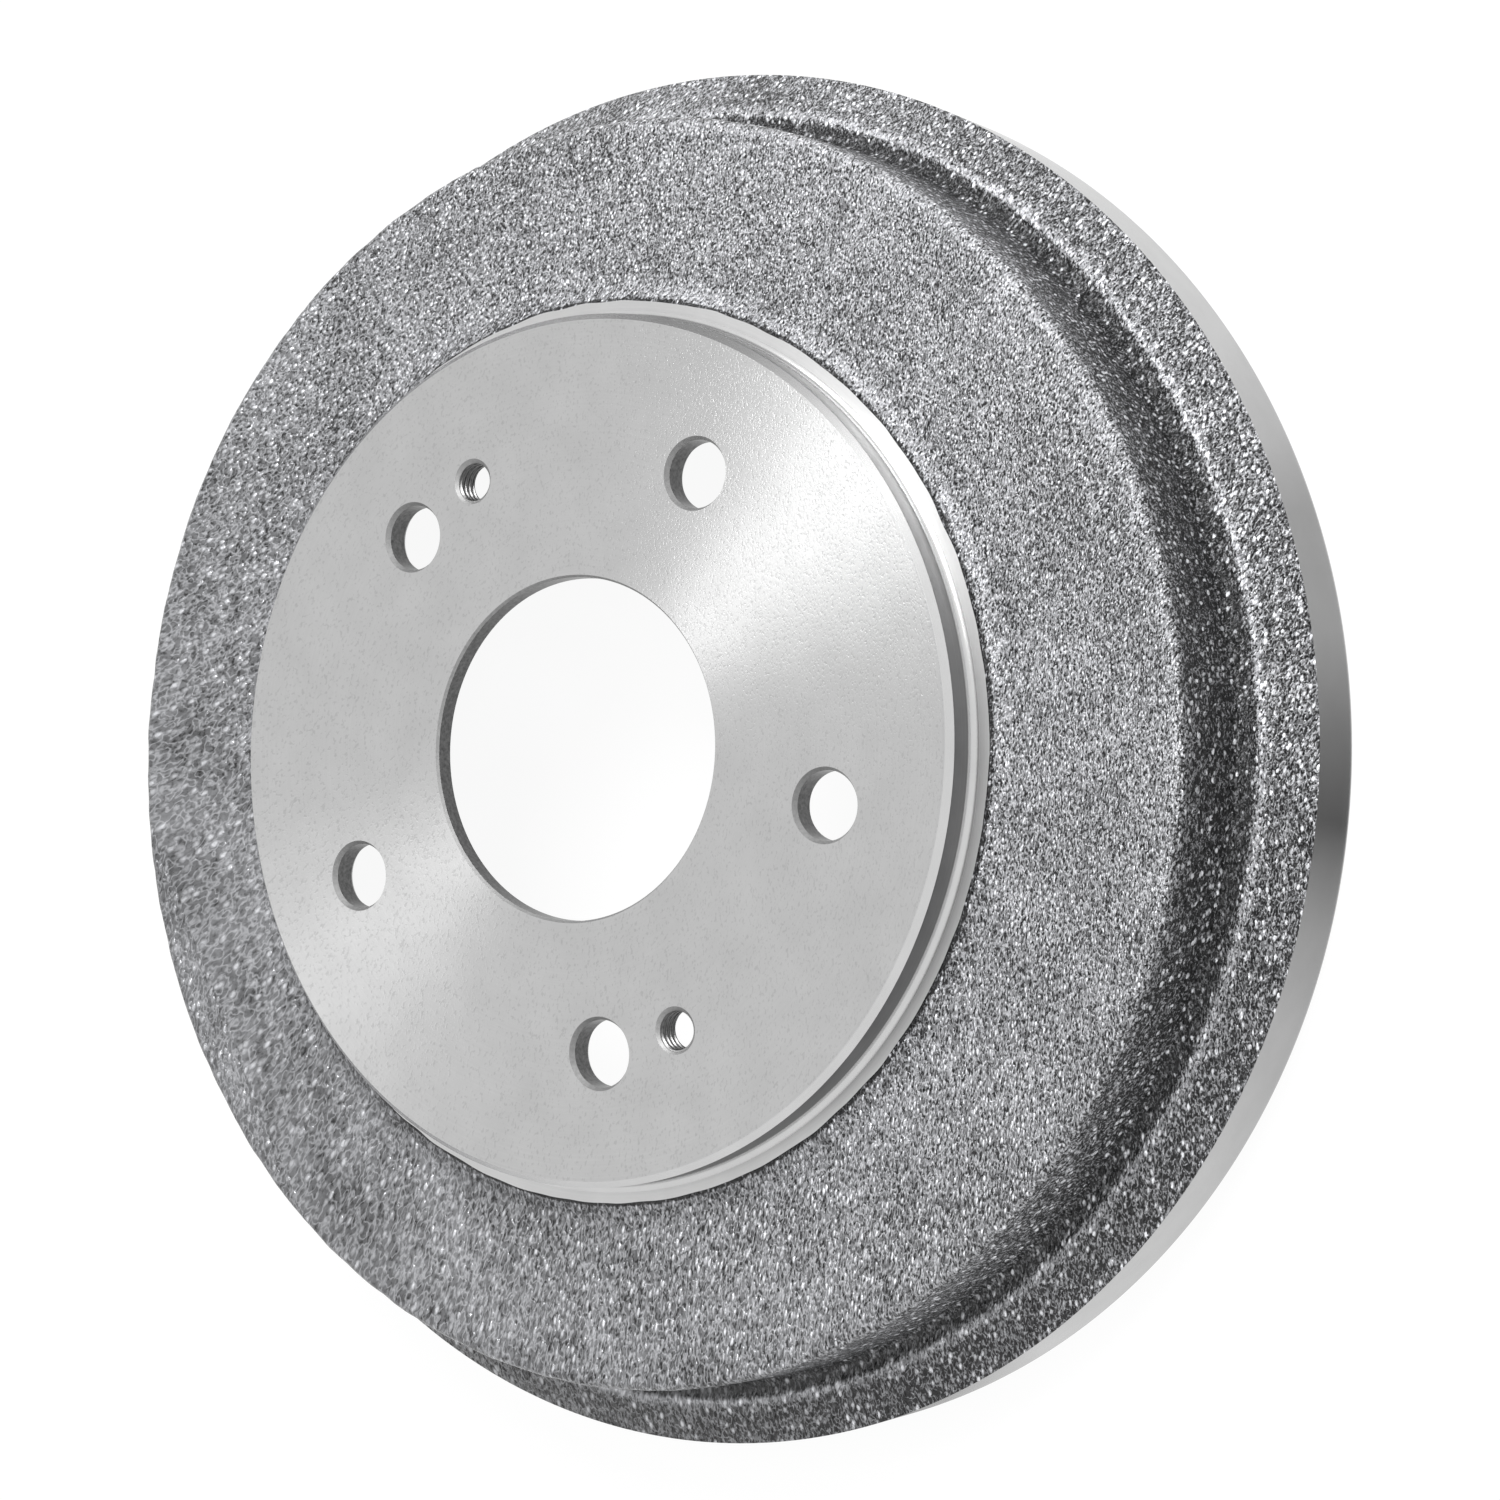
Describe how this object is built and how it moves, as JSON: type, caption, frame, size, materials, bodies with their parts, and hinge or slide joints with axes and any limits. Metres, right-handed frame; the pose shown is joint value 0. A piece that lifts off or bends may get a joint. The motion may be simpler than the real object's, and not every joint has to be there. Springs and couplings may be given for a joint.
{
  "type": "brake drum",
  "caption": "Shallow cast-iron brake drum with a raised turned hub face, a drilled and threaded hub plate, a plain cast web and wall, and a wide flange with a backing plate groove.",
  "frame": {"origin": "centre of the open rim, on the plane that the rim rests on", "axes": "+Z along the drum's axis, from the open rim to the hub face; +Y through a stud hole; both jack threads on the X axis"},
  "size_m": [0.2682, 0.2682, 0.0518],
  "materials": {
    "cast_iron": "sand-cast skin on web, wall and flange; fine turned finish on hub boss, outer band and seats"
  },
  "bodies": {
    "root": {"brake_drum": "cast_iron"}
  },
  "joints": []
}
